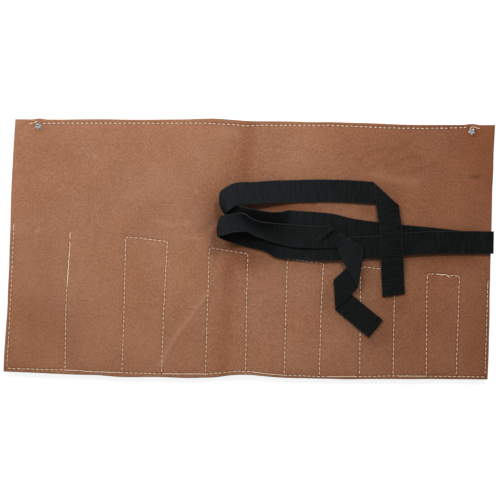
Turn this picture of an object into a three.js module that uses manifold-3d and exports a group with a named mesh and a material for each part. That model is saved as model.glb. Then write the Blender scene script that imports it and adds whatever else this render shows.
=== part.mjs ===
// A leather tool roll lying open with its outer face up. A sheet of suede carries a row of graded pockets
// and a folding flap on its underside, and a doubled webbing tie, sewn at the right edge, lies across its
// back. Millimetres, +X to the right, +Y towards the top edge, +Z up. The pockets rest on z = 0.
import * as THREE from 'three';
import { mergeVertices } from 'three/addons/utils/BufferGeometryUtils.js';
import Module from 'manifold-3d';

const wasm = await Module();
wasm.setup();

// Fit between pieces that lie on each other.
const CLEAR = 0.3;

// Leather sheets.
const BASE_THICK = 1.8;
const POCKET_THICK = 1.6;
const FLAP_THICK = 1.4;

// Base panel. Both ends lean a little, as the hide was cut by hand.
const SHEET_LENGTH = 534.8;
const SHEET_HEIGHT = 283;
const SIDE_MARGIN = 2.8;
const LEFT_LEAN = 0.03;
const RIGHT_LEAN = 0.0125;
// Swells of the cut edges: place from the left end, reach along the edge, height.
const TOP_SWELLS = [[211, 55, 2.8]];
const BOTTOM_SWELLS = [[150, 78, -3], [256, 24, 1.4], [345, 62, -2.2]];

// Pockets: shares of the length from left to right, depths and room for tools.
const BAY_SHARES = [63.7, 63, 44.7, 47.4, 43.4, 44.2, 39.2, 43, 38.3, 36.3, 34.7, 31.3];
const POCKET_DEPTH_LEFT = 164;
const POCKET_DEPTH_RIGHT = 109;
const POCKET_ROOM = 4.5;
const SEWN_LAND = 1.5;
const SHOULDER = 7;
const FOOT_TAPER = 32;
const SHOULDER_STEPS = 3;

// Flap inside the top edge, drooping from its sewn edge to the surface below.
const FLAP_INSET = 17;
const FLAP_DEPTH = 100;
const FLAP_SEWN = 14.5;
const FLAP_CORNER = 14;

// Rivets: a tubular shank with a flat head below and a star clenched on top.
const RIVET_INSET = 9;
const RIVET_DROP = 8.8;
const RIVET_SHANK = 3.6;
const RIVET_BORE = 2.2;
const RIVET_HEAD = 8;
const RIVET_HEAD_THICK = 0.6;
const STAR_SPREAD = 8;
const STAR_WAIST = 5;
const STAR_THICK = 0.7;
const STAR_POINTS = 6;

// Seams.
const THREAD = 0.9;
const SEAM_DROP = 4.6;
const MOUTH_STITCH = 3;

// Webbing tie.
const TIE_WIDTH = 25;
const TIE_THICK = 1.2;
const TIE_DROP = 130.8;
const TIE_SEWN = 28;
const TIE_PROUD = 2.6;
const TIE_BOX_INSET = 4;
// Width of the tie that the routes of its tails are drawn for.
const ROUTE_WIDTH = 25;

// Heights of the stack.
const PLATEAU_TOP = POCKET_THICK;
const BASE_UNDER = PLATEAU_TOP + POCKET_ROOM;
const BASE_TOP = BASE_UNDER + BASE_THICK;
const SEWN_UNDER = BASE_UNDER - CLEAR;
const LAYER = TIE_THICK + CLEAR;

const suede = new THREE.MeshStandardMaterial({ color: 0x9a6d52, roughness: 0.95, metalness: 0 });
const innerSuede = new THREE.MeshStandardMaterial({ color: 0xa5775b, roughness: 0.95, metalness: 0 });
const webbingBlack = new THREE.MeshStandardMaterial({ color: 0x1b1d1d, roughness: 0.85, metalness: 0 });
const whiteThread = new THREE.MeshStandardMaterial({ color: 0xe6ddcc, roughness: 0.8, metalness: 0 });
const blackThread = new THREE.MeshStandardMaterial({ color: 0x161717, roughness: 0.8, metalness: 0 });
const steel = new THREE.MeshStandardMaterial({ color: 0xb9b4aa, roughness: 0.4, metalness: 0.9 });

const roll = new THREE.Group();

function piece(name, geometry, material, parent = roll) {
  const mesh = new THREE.Mesh(geometry, material);
  mesh.name = name;
  parent.add(mesh);
  return mesh;
}

// Where the sheet's edges and seams run. Bays are counted at mid-height, where y is 0.
const LEFT_END = -SHEET_LENGTH / 2;
const BAYS = BAY_SHARES.length;
const shareSum = BAY_SHARES.reduce((sum, share) => sum + share, 0);
const bayWidths = BAY_SHARES.map((share) => (share / shareSum) * (SHEET_LENGTH - 2 * SIDE_MARGIN));

function swell(x, swells) {
  const along = x - LEFT_END;
  return swells.reduce((y, [at, reach, high]) => y + high * Math.exp(-(((along - at) / reach) ** 2)), 0);
}
const topEdge = (x) => SHEET_HEIGHT / 2 + swell(x, TOP_SWELLS);
const bottomEdge = (x) => -SHEET_HEIGHT / 2 + swell(x, BOTTOM_SWELLS);
const leftEdge = (y) => LEFT_END + LEFT_LEAN * y;
const rightEdge = (y) => -LEFT_END + RIGHT_LEAN * y;

function seamX(seam, y) {
  const offset = bayWidths.slice(0, seam).reduce((sum, width) => sum + width, SIDE_MARGIN);
  return LEFT_END + offset + (seam === 0 ? LEFT_LEAN : RIGHT_LEAN) * y;
}

// The mouth edge of the pockets slopes from the deep left end to the shallow right end.
function mouth(x) {
  const share = (x - LEFT_END) / SHEET_LENGTH;
  return -SHEET_HEIGHT / 2 + THREE.MathUtils.lerp(POCKET_DEPTH_LEFT, POCKET_DEPTH_RIGHT, share);
}

// Flat leather cut to an outline, with round holes.
function sheet(outline, holes, thick) {
  const shape = new THREE.Shape(outline);
  for (const { x, y, radius } of holes) {
    shape.holes.push(new THREE.Path().absarc(x, y, radius, 0, 2 * Math.PI, true));
  }
  return new THREE.ExtrudeGeometry(shape, { depth: thick, bevelEnabled: false, curveSegments: 10 });
}

function edgePoints(from, to, steps, edge) {
  return Array.from({ length: steps + 1 }, (_, i) => {
    const x = THREE.MathUtils.lerp(from, to, i / steps);
    return new THREE.Vector2(x, edge(x));
  });
}

// Rivet places, near both ends of the flap.
const flapLeft = leftEdge(SHEET_HEIGHT / 2) + FLAP_INSET;
const flapRight = rightEdge(SHEET_HEIGHT / 2) - FLAP_INSET;
const rivetPlaces = [flapLeft + RIVET_INSET, flapRight - RIVET_INSET].map((x) => ({
  x,
  y: topEdge(x) - RIVET_DROP,
  radius: RIVET_SHANK / 2 + CLEAR,
}));

// Base panel.
const half = SHEET_HEIGHT / 2;
const baseOutline = [
  ...edgePoints(leftEdge(-half), rightEdge(-half), 30, bottomEdge),
  ...edgePoints(rightEdge(half), leftEdge(half), 24, topEdge),
];
piece('base_panel', sheet(baseOutline, rivetPlaces, BASE_THICK), suede).position.z = BASE_UNDER;

// Pocket panel: flat where it is sewn to the base, and arched down to the surface in each bay. The arches
// open fully towards the mouth and taper out at the foot.
function pocketStations() {
  const stations = [{ seam: 0, shift: -SIDE_MARGIN, sink: 0 }];
  for (let bay = 0; bay < BAYS; bay += 1) {
    const rise = [];
    for (let step = 0; step <= SHOULDER_STEPS; step += 1) {
      const t = step / SHOULDER_STEPS;
      rise.push({ shift: SEWN_LAND + SHOULDER * t, sink: t * t * (3 - 2 * t) });
    }
    rise.forEach(({ shift, sink }) => stations.push({ seam: bay, shift, sink }));
    rise.reverse().forEach(({ shift, sink }) => stations.push({ seam: bay + 1, shift: -shift, sink }));
  }
  stations.push({ seam: BAYS, shift: SIDE_MARGIN, sink: 0 });
  return stations;
}

function pocketPanel() {
  const arch = POCKET_ROOM - CLEAR;
  const footSeam = SEAM_DROP + SEWN_LAND;
  // Rows from the foot to the mouth: a height up the panel and the share of the arch there.
  const rows = [
    (low) => [low, 0],
    (low) => [low + footSeam, 0],
    (low) => [low + footSeam + FOOT_TAPER / 3, 0.26],
    (low) => [low + footSeam + (2 * FOOT_TAPER) / 3, 0.74],
    (low) => [low + footSeam + FOOT_TAPER, 1],
    (low, high) => [high, 1],
  ];
  const stations = pocketStations();
  const inset = (station, i) => (i === 0 || i === stations.length - 1 ? CLEAR * Math.sign(station.shift) : 0);
  const positions = [];
  for (const thick of [0, POCKET_THICK]) {
    for (const row of rows) {
      stations.forEach((station, i) => {
        const x0 = seamX(station.seam, 0) + station.shift;
        const [y, share] = row(bottomEdge(x0) + CLEAR, mouth(x0));
        const x = seamX(station.seam, y) + station.shift - inset(station, i);
        positions.push(x, y, arch * (1 - share * station.sink) + thick);
      });
    }
  }
  const across = stations.length;
  const layer = rows.length * across;
  const index = [];
  const quad = (a, b, c, d) => index.push(a, b, c, a, c, d);
  for (let r = 0; r < rows.length - 1; r += 1) {
    for (let s = 0; s < across - 1; s += 1) {
      const a = r * across + s;
      quad(a, a + across, a + across + 1, a + 1);
      quad(layer + a, layer + a + 1, layer + a + across + 1, layer + a + across);
    }
  }
  const rim = [];
  for (let s = 0; s < across; s += 1) rim.push(s);
  for (let r = 1; r < rows.length; r += 1) rim.push(r * across + across - 1);
  for (let s = across - 2; s >= 0; s -= 1) rim.push((rows.length - 1) * across + s);
  for (let r = rows.length - 2; r > 0; r -= 1) rim.push(r * across);
  rim.forEach((a, i) => {
    const b = rim[(i + 1) % rim.length];
    quad(a, b, layer + b, layer + a);
  });
  const geometry = new THREE.BufferGeometry();
  geometry.setAttribute('position', new THREE.Float32BufferAttribute(positions, 3));
  geometry.setIndex(index);
  return geometry;
}
piece('pocket_panel', pocketPanel(), innerSuede);

// Flap: its sewn edge stays flat under the base, and its panel droops from the fold line.
const foldLine = half - FLAP_SEWN;
const sewnOutline = [
  new THREE.Vector2(flapLeft, foldLine),
  new THREE.Vector2(flapRight, foldLine),
  ...edgePoints(flapRight, flapLeft, 16, (x) => topEdge(x) - CLEAR),
];
const sewnEdge = piece('flap_sewn_edge', sheet(sewnOutline, rivetPlaces, FLAP_THICK), innerSuede);
sewnEdge.position.z = SEWN_UNDER - FLAP_THICK;

const flapRun = FLAP_DEPTH - FLAP_SEWN - CLEAR;
const flapDroop = Math.asin((SEWN_UNDER - FLAP_THICK) / flapRun);
const flapOutline = new THREE.Shape();
flapOutline.moveTo(flapLeft, 0);
flapOutline.lineTo(flapLeft, FLAP_CORNER - flapRun);
flapOutline.absarc(flapLeft + FLAP_CORNER, FLAP_CORNER - flapRun, FLAP_CORNER, Math.PI, 1.5 * Math.PI);
flapOutline.absarc(flapRight - FLAP_CORNER, FLAP_CORNER - flapRun, FLAP_CORNER, 1.5 * Math.PI, 2 * Math.PI);
flapOutline.lineTo(flapRight, 0);
const flapHinge = new THREE.Group();
flapHinge.position.set(0, foldLine - CLEAR, SEWN_UNDER - FLAP_THICK);
flapHinge.rotation.x = flapDroop;
roll.add(flapHinge);
const flapCut = { depth: FLAP_THICK, bevelEnabled: false, curveSegments: 6 };
piece('flap_panel', new THREE.ExtrudeGeometry(flapOutline, flapCut), innerSuede, flapHinge);

// Rivets: shank and head turned in one, with the star joined on top.
function solid(geometry) {
  const bare = geometry.clone();
  bare.deleteAttribute('normal');
  bare.deleteAttribute('uv');
  const merged = mergeVertices(bare, 1e-4);
  return new wasm.Manifold(new wasm.Mesh({
    numProp: 3,
    vertProperties: new Float32Array(merged.attributes.position.array),
    triVerts: new Uint32Array(merged.index.array),
  }));
}

function geometryOf(body) {
  const { vertProperties, triVerts } = body.getMesh();
  const geometry = new THREE.BufferGeometry();
  geometry.setAttribute('position', new THREE.BufferAttribute(vertProperties, 3));
  geometry.setIndex(new THREE.BufferAttribute(triVerts, 1));
  return geometry;
}

function rivet() {
  const headTop = SEWN_UNDER - FLAP_THICK - CLEAR;
  const headUnder = headTop - RIVET_HEAD_THICK;
  const starUnder = BASE_TOP + CLEAR;
  const rim = starUnder + STAR_THICK;
  const profile = [
    [0, headUnder],
    [RIVET_HEAD / 2, headUnder],
    [RIVET_HEAD / 2, headTop],
    [RIVET_SHANK / 2, headTop],
    [RIVET_SHANK / 2, rim - STAR_THICK / 4],
    [RIVET_BORE / 2, rim - STAR_THICK / 4],
    [RIVET_BORE / 2, headTop],
    [0, headTop],
  ].map(([radius, z]) => new THREE.Vector2(radius, z));
  const turned = new THREE.LatheGeometry(profile, 20).rotateX(Math.PI / 2);
  const tips = Array.from({ length: 2 * STAR_POINTS }, (_, i) => {
    const radius = (i % 2 ? STAR_WAIST : STAR_SPREAD) / 2;
    const turn = (Math.PI * i) / STAR_POINTS;
    return new THREE.Vector2(radius * Math.cos(turn), radius * Math.sin(turn));
  });
  const star = sheet(tips, [{ x: 0, y: 0, radius: (RIVET_BORE + RIVET_SHANK) / 4 }], STAR_THICK);
  return geometryOf(solid(turned).add(solid(star.translate(0, 0, starUnder))));
}
['rivet_left', 'rivet_right'].forEach((name, i) => {
  piece(name, rivet(), steel).position.set(rivetPlaces[i].x, rivetPlaces[i].y, 0);
});

// Thread: a flat strand laid along a run of points, with mitred corners.
function strand(points) {
  const path = points.map(([x, y]) => new THREE.Vector2(x, y));
  const offset = (side) => path.map((point, i) => {
    const before = i > 0 ? point.clone().sub(path[i - 1]).normalize() : null;
    const after = i < path.length - 1 ? path[i + 1].clone().sub(point).normalize() : null;
    const along = (before ?? after).clone().add(after ?? before).normalize();
    const normal = new THREE.Vector2(-along.y, along.x);
    const straight = (after ?? before);
    const mitre = normal.dot(new THREE.Vector2(-straight.y, straight.x));
    return point.clone().addScaledVector(normal, (side * THREAD) / 2 / mitre);
  });
  const outline = new THREE.Shape([...offset(-1), ...offset(1).reverse()]);
  return new THREE.ExtrudeGeometry(outline, { depth: THREAD / 2, bevelEnabled: false });
}

function seam(name, points) {
  piece(name, strand(points), whiteThread).position.z = BASE_TOP + CLEAR;
}

const footLine = (x) => bottomEdge(x) + SEAM_DROP;
const stitchTop = (x) => mouth(x) + MOUTH_STITCH;
const seamEnd = 3 * THREAD;

function edgeRun(from, to, steps, edge) {
  return edgePoints(from, to, steps, edge).map(({ x, y }) => [x, y]);
}
const topLine = (x) => topEdge(x) - SEAM_DROP;
seam('thread_top', edgeRun(flapLeft + SEAM_DROP / 2, flapRight - SEAM_DROP / 2, 16, topLine));
seam('thread_bottom', edgeRun(seamX(0, -half), seamX(BAYS, -half), 24, footLine));

// A run up one divider, from just above the bottom seam to its top.
function divider(number, top) {
  const x = seamX(number, 0);
  const low = footLine(x) + seamEnd;
  const high = top(x);
  return [[seamX(number, low), low], [seamX(number, high), high]];
}
seam('thread_left_edge', divider(0, stitchTop));
seam('thread_divider', divider(1, stitchTop));
seam('thread_right_edge', divider(BAYS, stitchTop));

// Pairs of dividers are sewn as one arch, whose crossing runs on the base just above the pocket mouth.
for (let number = 2; number + 1 < BAYS; number += 2) {
  const [up, over] = [divider(number, stitchTop), divider(number + 1, stitchTop)];
  seam(`thread_arch_${number / 2}`, [...up, ...over.reverse()]);
}

// Tie: folded in half over the right edge and sewn down as a box. Its tails start at the inner end of the
// sewn part, which is the origin of their points, with z counted from the top of the base.
const tieY = half - TIE_DROP;
const tieTip = rightEdge(tieY) + TIE_PROUD;
const tieX = tieTip - TIE_SEWN - TIE_PROUD;
const tie = new THREE.Group();
tie.position.set(tieX, tieY, BASE_TOP);
roll.add(tie);

function tieFold() {
  const low = CLEAR;
  const high = low + TIE_THICK + LAYER;
  const bend = (high - low) / 2;
  const end = tieTip - tieX - bend;
  const profile = new THREE.Shape();
  profile.moveTo(0, low);
  profile.lineTo(end, low);
  profile.absarc(end, low + bend, bend, -Math.PI / 2, Math.PI / 2);
  profile.lineTo(0, high);
  profile.lineTo(0, high - TIE_THICK);
  profile.lineTo(end, high - TIE_THICK);
  profile.absarc(end, low + bend, bend - TIE_THICK, Math.PI / 2, -Math.PI / 2, true);
  profile.lineTo(0, low + TIE_THICK);
  const width = { depth: TIE_WIDTH, bevelEnabled: false, curveSegments: 8 };
  return new THREE.ExtrudeGeometry(profile, width).rotateX(Math.PI / 2).translate(0, TIE_WIDTH / 2, 0);
}
piece('tie_sewn_fold', tieFold(), webbingBlack, tie);

const boxHigh = TIE_WIDTH / 2 - TIE_BOX_INSET;
const boxStart = TIE_BOX_INSET;
const boxEnd = TIE_SEWN - TIE_BOX_INSET;
const boxOuter = [[boxStart, -boxHigh], [boxEnd, -boxHigh], [boxEnd, boxHigh], [boxStart, boxHigh]];
const boxShape = new THREE.Shape(boxOuter.map(([x, y]) => new THREE.Vector2(x, y)));
boxShape.holes.push(new THREE.Path([
  new THREE.Vector2(boxStart + THREAD, -boxHigh + THREAD),
  new THREE.Vector2(boxStart + THREAD, boxHigh - THREAD),
  new THREE.Vector2(boxEnd - THREAD, boxHigh - THREAD),
  new THREE.Vector2(boxEnd - THREAD, -boxHigh + THREAD),
]));
const boxThread = new THREE.ExtrudeGeometry(boxShape, { depth: THREAD / 2, bevelEnabled: false });
piece('thread_tie_box', boxThread, blackThread, tie).position.z = 2 * LAYER + CLEAR / 2;

// A tail of webbing is a ruled band between its two edges. Each entry of a route is one of:
//   lie: x, y, z      flat, square to the run
//   turn: x, y, z, across, tilt, trough   in a loop, with the plan angle of its width, the rise of its far
//                     side and the bend of its section about the middle
//   fold: x, y, z, z  a flat diagonal fold, with the heights before and after it
// Places grow with the width of the tie.
const degrees = THREE.MathUtils.degToRad;
const tieScale = TIE_WIDTH / ROUTE_WIDTH;

function bandStations(route) {
  const spots = route.map(({ lie, turn, fold }) => {
    const [x, y] = lie ?? turn ?? fold;
    return new THREE.Vector2(x, y).multiplyScalar(tieScale);
  });
  const stations = [];
  let side = new THREE.Vector2(0, 1);
  const keep = (direction) => {
    side = direction.dot(side) < 0 ? direction.negate() : direction;
    return side;
  };
  const add = (spot, z, direction, reach, tilt = 0, trough = 0) => {
    const level = reach * Math.cos(tilt);
    const across = new THREE.Vector3(direction.x * level, direction.y * level, reach * Math.sin(tilt));
    stations.push({ centre: new THREE.Vector3(spot.x, spot.y, z), across, trough });
  };
  route.forEach(({ lie, turn, fold }, i) => {
    const spot = spots[i];
    const into = spot.clone().sub(spots[Math.max(i - 1, 0)]).normalize();
    const out = spots[Math.min(i + 1, spots.length - 1)].clone().sub(spot).normalize();
    if (lie) {
      const along = into.clone().add(out).normalize();
      add(spot, lie[2], keep(new THREE.Vector2(-along.y, along.x)), TIE_WIDTH / 2);
    } else if (turn) {
      const [z, angle, tilt, trough = 0] = turn.slice(2);
      const across = new THREE.Vector2(Math.cos(degrees(angle)), Math.sin(degrees(angle)));
      const turned = across.dot(side) < 0 ? -1 : 1;
      add(spot, z, keep(across), TIE_WIDTH / 2, turned * degrees(tilt), turned * degrees(trough));
    } else {
      const [before, after] = fold.slice(2);
      const crease = keep(into.clone().add(out).normalize()).clone();
      const reach = TIE_WIDTH / 2 / Math.abs(into.cross(crease));
      const back = new THREE.Vector2(-crease.y, crease.x);
      if (back.dot(into) > 0) back.negate();
      const near = spot.clone().addScaledVector(back, TIE_THICK);
      add(near, before, crease, reach);
      add(spot, (before + after) / 2, crease, reach);
      add(near, after, crease, reach);
    }
  });
  return stations;
}

// Corners of a band's section, by side and face, and the two quads that close its ends.
const CORNERS = [[-1, -1], [0, -1], [1, -1], [1, 1], [0, 1], [-1, 1]];
const CAPS = [[0, 1, 4, 5], [1, 2, 3, 4]];

function band(route) {
  const stations = bandStations(route);
  const last = stations.length - 1;
  const positions = [];
  stations.forEach(({ centre, across, trough }, i) => {
    const along = stations[Math.min(i + 1, last)].centre.clone().sub(stations[Math.max(i - 1, 0)].centre);
    const up = along.cross(across).normalize();
    const reach = Math.cos(trough / 2);
    const rim = Math.sin(trough / 2) * across.length();
    for (const [side, face] of CORNERS) {
      const lift = face * TIE_THICK / 2 + Math.abs(side) * rim;
      const corner = centre.clone().addScaledVector(across, side * reach).addScaledVector(up, lift);
      positions.push(corner.x, corner.y, corner.z);
    }
  });
  const index = [];
  const quad = (a, b, c, d) => index.push(a, b, c, a, c, d);
  const round = CORNERS.length;
  // Both faces split along the same diagonals, so a twisted stretch keeps its thickness.
  for (let i = 0; i < last; i += 1) {
    const [here, there] = [round * i, round * (i + 1)];
    for (let edge = 0; edge < round; edge += 1) {
      const next = (edge + 1) % round;
      const patch = [here + edge, here + next, there + next, there + edge];
      if (CORNERS[edge][1] > 0) patch.push(patch.shift());
      quad(...patch);
    }
  }
  for (const cap of CAPS) {
    quad(...cap.toReversed());
    quad(...cap.map((corner) => round * last + corner));
  }
  const geometry = new THREE.BufferGeometry();
  geometry.setAttribute('position', new THREE.Float32BufferAttribute(positions, 3));
  geometry.setIndex(index);
  return geometry;
}

// Height of the middle of the nth layer of webbing: where it is sewn to the base, and where it lies free
// over the threads. Loops rise from the first free layer.
const sewn = (n) => CLEAR + TIE_THICK / 2 + (n - 1) * LAYER;
const layer = (n) => sewn(n) + THREAD / 2 + CLEAR;
const rise = (height) => layer(1) + height * tieScale;

const LONG_TAIL = [
  { turn: [-CLEAR, 0, sewn(1), 90, 0] },
  { lie: [-36, 3, layer(1)] },
  { lie: [-95, 8, layer(1)] },
  { lie: [-128, 12, layer(1)] },
  { lie: [-151, 17, layer(1)] },
  { lie: [-188, 19.5, layer(1)] },
  { turn: [-197, 19.9, rise(0.3), 90, 2] },
  { turn: [-203, 19.4, rise(4.4), 91, 23] },
  { turn: [-212, 19.2, rise(6.2), 92, 31] },
  { turn: [-222, 20, rise(6.6), 93, 33] },
  { turn: [-236, 22.4, rise(6.2), 96, 31] },
  { turn: [-250, 25, rise(5.6), 99, 26] },
  { turn: [-261, 28, rise(5.4), 105, 9] },
  { turn: [-273.4, 36, rise(9.6), 108, 0, -44] },
  { turn: [-269, 41, rise(14.6), 106, -2, -8] },
  { turn: [-264.4, 44.6, rise(14), 102, -5] },
  { turn: [-257.5, 48.6, rise(12.5), 97, -3] },
  { turn: [-250, 50, rise(10.8), 92, 0] },
  { turn: [-240, 50.3, rise(8.2), 90, 0] },
  { lie: [-213, 52.5, rise(3)] },
  { lie: [-190, 53.5, layer(1)] },
  { lie: [-167, 54.5, layer(1)] },
  { lie: [-135, 54.5, layer(1)] },
  { fold: [-90.5, 51.5, layer(1), layer(2)] },
  { lie: [-86.5, 29, layer(2) + 0.2] },
  { lie: [-84.5, 17, layer(3)] },
  { lie: [-82, -18, layer(3)] },
  { lie: [-81.3, -31, layer(2)] },
  { lie: [-80.7, -43, layer(1)] },
  { lie: [-79.5, -60, layer(1)] },
];
piece('tie_tail_long', band(LONG_TAIL), webbingBlack, tie);

const SHORT_TAIL = [
  { turn: [-CLEAR, 0, sewn(2), 90, 0] },
  { lie: [-54, -2, layer(2)] },
  { lie: [-95, -6.5, layer(2)] },
  { lie: [-117, -8, layer(2)] },
  { lie: [-151, -10.5, layer(2)] },
  { lie: [-184, -10, layer(1) + 0.6] },
  { lie: [-206, -8.5, layer(1) + 0.6] },
  { turn: [-226, -1.2, rise(2.6), 100, 9] },
  { turn: [-245, 2.6, rise(4), 100, 15] },
  { turn: [-261, 7.7, rise(6.2), 94, 7] },
  { turn: [-276, 14, rise(11.4), 80, -7, -30] },
  { turn: [-270.8, 13.9, rise(16.8), 79, -20, 0] },
  { turn: [-259, 15.6, rise(13.4), 86, -22, 44] },
  { turn: [-244, 18.6, rise(9.6), 96, 16, 66] },
  { turn: [-231, 13.6, rise(9.2), 99, 32, 48] },
  { turn: [-216, 8.4, rise(7.8), 94, 28, 24] },
  { turn: [-200, 5, rise(5), 92, 14, 8] },
  { lie: [-184, 3.6, layer(3) + 0.4] },
  { lie: [-164, 3, layer(3)] },
  { fold: [-135, 4, layer(3), layer(4)] },
  { lie: [-127, -14.9, layer(4)] },
  { fold: [-117.6, -32.6, layer(4), layer(3)] },
  { lie: [-133, -48.1, layer(3) - 0.4] },
  { fold: [-144, -60.5, layer(2), layer(1)] },
  { lie: [-99, -97.5, layer(1)] },
];
piece('tie_tail_short', band(SHORT_TAIL), webbingBlack, tie);

// The middle of the object's plan is its origin.
const plan = new THREE.Box3().setFromObject(roll).getCenter(new THREE.Vector3());
roll.position.set(-plan.x, -plan.y, 0);

export default roll;
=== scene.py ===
"""Looks of a suede tool roll lying open with its outer face up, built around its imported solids.

Shapes are worked out in millimetres in the frame of the solids and turned into metres when a mesh is made.
"""
import math
from types import SimpleNamespace

import bmesh
import bpy
import numpy as np
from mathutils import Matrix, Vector

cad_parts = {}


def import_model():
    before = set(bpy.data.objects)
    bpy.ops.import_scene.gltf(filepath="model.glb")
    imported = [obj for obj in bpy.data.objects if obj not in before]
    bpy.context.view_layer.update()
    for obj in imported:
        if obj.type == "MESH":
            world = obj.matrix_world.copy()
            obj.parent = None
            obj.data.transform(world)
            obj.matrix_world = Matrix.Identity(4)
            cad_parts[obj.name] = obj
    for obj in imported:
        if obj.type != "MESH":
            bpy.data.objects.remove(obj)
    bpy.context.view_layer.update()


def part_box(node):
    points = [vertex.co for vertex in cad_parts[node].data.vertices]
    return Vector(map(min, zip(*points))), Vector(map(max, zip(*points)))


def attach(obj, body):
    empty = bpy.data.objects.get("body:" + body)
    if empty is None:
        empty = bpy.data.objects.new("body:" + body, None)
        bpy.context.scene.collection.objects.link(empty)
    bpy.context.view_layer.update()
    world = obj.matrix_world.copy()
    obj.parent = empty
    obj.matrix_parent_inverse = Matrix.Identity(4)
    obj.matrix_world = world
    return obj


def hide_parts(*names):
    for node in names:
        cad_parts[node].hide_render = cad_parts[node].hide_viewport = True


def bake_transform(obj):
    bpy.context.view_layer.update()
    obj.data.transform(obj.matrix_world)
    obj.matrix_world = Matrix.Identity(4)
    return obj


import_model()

MM = 0.001

# Sheets: height of the outer face, thicknesses, and the gap between sheets that are sewn together.
BASE_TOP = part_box("base_panel")[1].z / MM
BASE_THICK = 1.8
POCKET_THICK = 1.6
FLAP_THICK = 1.4
SEWN_GAP = 0.2

# Outline of the hide: y along the top and bottom edges, x along the ends.
HALF_LENGTH = 268
TOP_EDGE = [
    (-264, 140.2), (-224, 140.3), (-168, 141.4), (-135, 141.6), (-68, 143.3), (-51, 144.2), (-24, 143.1),
    (-2, 142), (32, 142.1), (98, 142), (132, 141.6), (165, 140.8), (220, 141.4), (271, 141.8),
]
BOTTOM_EDGE = [
    (-272, -141), (-252, -141.5), (-208, -142.9), (-164, -143.7), (-141, -145), (-97, -144.6),
    (-53, -145), (-31, -143.8), (-19, -141.8), (-8, -140.8), (3, -140.7), (25, -142.4), (47, -143.2),
    (81, -143.8), (147, -143), (214, -141.9), (267, -141.7),
]
LEFT_END = [
    (-144, -271.5), (-133, -271.3), (-106, -270.2), (-61, -268), (-17, -267), (16, -266.3),
    (61, -265.6), (105, -264.1), (145, -262.2),
]
RIGHT_END = [
    (-144, 267.1), (-97, 268), (-53, 268.1), (-6, 268), (29, 268.7), (58, 268.9), (114, 270.1),
    (145, 271.3),
]

# Lie of the hide. Lumps: height, size and seed. Creases and wrinkles: path, height and half-width.
LUMPS = [(0.3, 62, 3), (0.16, 27, 4), (0.05, 9, 5)]
HOLLOW_LINE = [(-150, -37), (-20, -33), (60, -20), (150, -12)]
CREASES = [
    ([(-47, -52), (-62, -73), (-79, -97), (-90, -116), (-97, -131)], 0.34, 3.2),
    ([(-108, 29), (-86, 24), (-70, 27)], 0.25, 3),
    ([(-72, 12), (-52, 8)], 0.25, 2.5),
    ([(136, 84), (160, 79), (184, 76)], 0.16, 5.5),
]
WRINKLES = [
    ([(118, 96), (132, 108), (150, 113)], -0.13, 2.6),
    ([(128, 88), (146, 99), (160, 111), (176, 118)], -0.12, 2.8),
    ([(150, 92), (172, 103), (190, 104)], -0.12, 2.8),
    ([(160, 84), (186, 90), (204, 97)], -0.11, 2.6),
]

# Marks on the outer face: x, y, half-width, half-height and depth. The first are painted shadows beside and
# under the tie, in the hollow and round the rivets.
PAINTED_SHADOW_SPOTS = [
    (-24, -30, 9, 24, 0.22), (0, -14, 22, 13, 0.45), (40, 46, 34, 9, 0.5), (132, 44, 10, 9, 0.3),
    (-235.5, 130.7, 5.5, 5.5, 0.45), (245.6, 132.4, 5.5, 5.5, 0.4),
]
PALE_SPOTS = [
    (-26, 127, 16, 7, 0.22), (-173, 100, 1.6, 1.6, 0.5), (-236.1, 15.8, 2.2, 2.2, 0.5),
    (-60, 63, 1.5, 1.5, 0.5), (30, 110, 1.4, 1.4, 0.5),
]
STAINS = [(249.6, 83.4, 5, 1.8, 0.55), (150, 96, 2.5, 2, 0.25)]

# Seams, as the needle ran.
SEAMS = {
    "top": [
        (-232.6, 135.4), (-168.1, 136.6), (-120.3, 137.2), (-54.8, 138.4), (-26, 137.4), (-6, 136.2),
        (15.1, 137), (81.7, 138), (115, 137.5), (150.6, 136.3), (183.9, 136.3), (212.7, 136.9),
        (231.6, 137.6), (240, 138.4),
    ],
    "bottom": [
        (-267, -137.2), (-235.9, -137.8), (-202.7, -138), (-167.6, -139.6), (-138.4, -140.1),
        (-94.5, -140.8), (-46.8, -140.4), (-29.4, -138.8), (-13.9, -136.6), (1.6, -136.4), (22.2, -138.9),
        (41.7, -140.1), (80.5, -141), (119.4, -140.4), (162.5, -139), (197.5, -138.7), (263.7, -138.5),
    ],
    "left_edge": [(-261.8, 25), (-262.8, -5.7), (-264, -50.9), (-265.6, -95.7), (-267.3, -136.8)],
    "divider": [(-198.9, 16.4), (-199.9, -5.1), (-201.7, -36.3), (-202.8, -71.4), (-202.7, -137.6)],
    "right_edge": [(265.4, -31), (264.7, -75.7), (263.7, -136.2)],
    "arch_1": [
        (-139.4, -138.6), (-138.2, -72.4), (-137.9, -23.6), (-137.4, 7.6), (-137.7, 11), (-90.6, 6.3),
        (-91, 4.4), (-92.5, -22.9), (-94.5, -81.4), (-95.5, -139.8),
    ],
    "arch_2": [
        (-46.8, -139.1), (-45.9, -80.6), (-44.8, -22.2), (-44.6, 0.2), (-1.6, -6), (-1.8, -7.9),
        (-2.3, -60.5), (-2.1, -136),
    ],
    "arch_3": [
        (40.8, -139), (41.5, -59.8), (42.3, -12), (42.9, -10.4), (69, -14.2), (83.7, -15.3),
        (82.2, -16.9), (80.5, -69), (79.8, -140),
    ],
    "arch_4": [
        (124.5, -138.4), (123.9, -39), (123.3, -21.4), (125.6, -18.2), (146, -20.2), (162.5, -22.9),
        (161.7, -51), (161.6, -138),
    ],
    "arch_5": [
        (198.5, -137.6), (197.8, -57.3), (197.7, -24.6), (233.4, -26.9), (233.3, -56.8), (231.6, -137.2),
    ],
}
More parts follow.
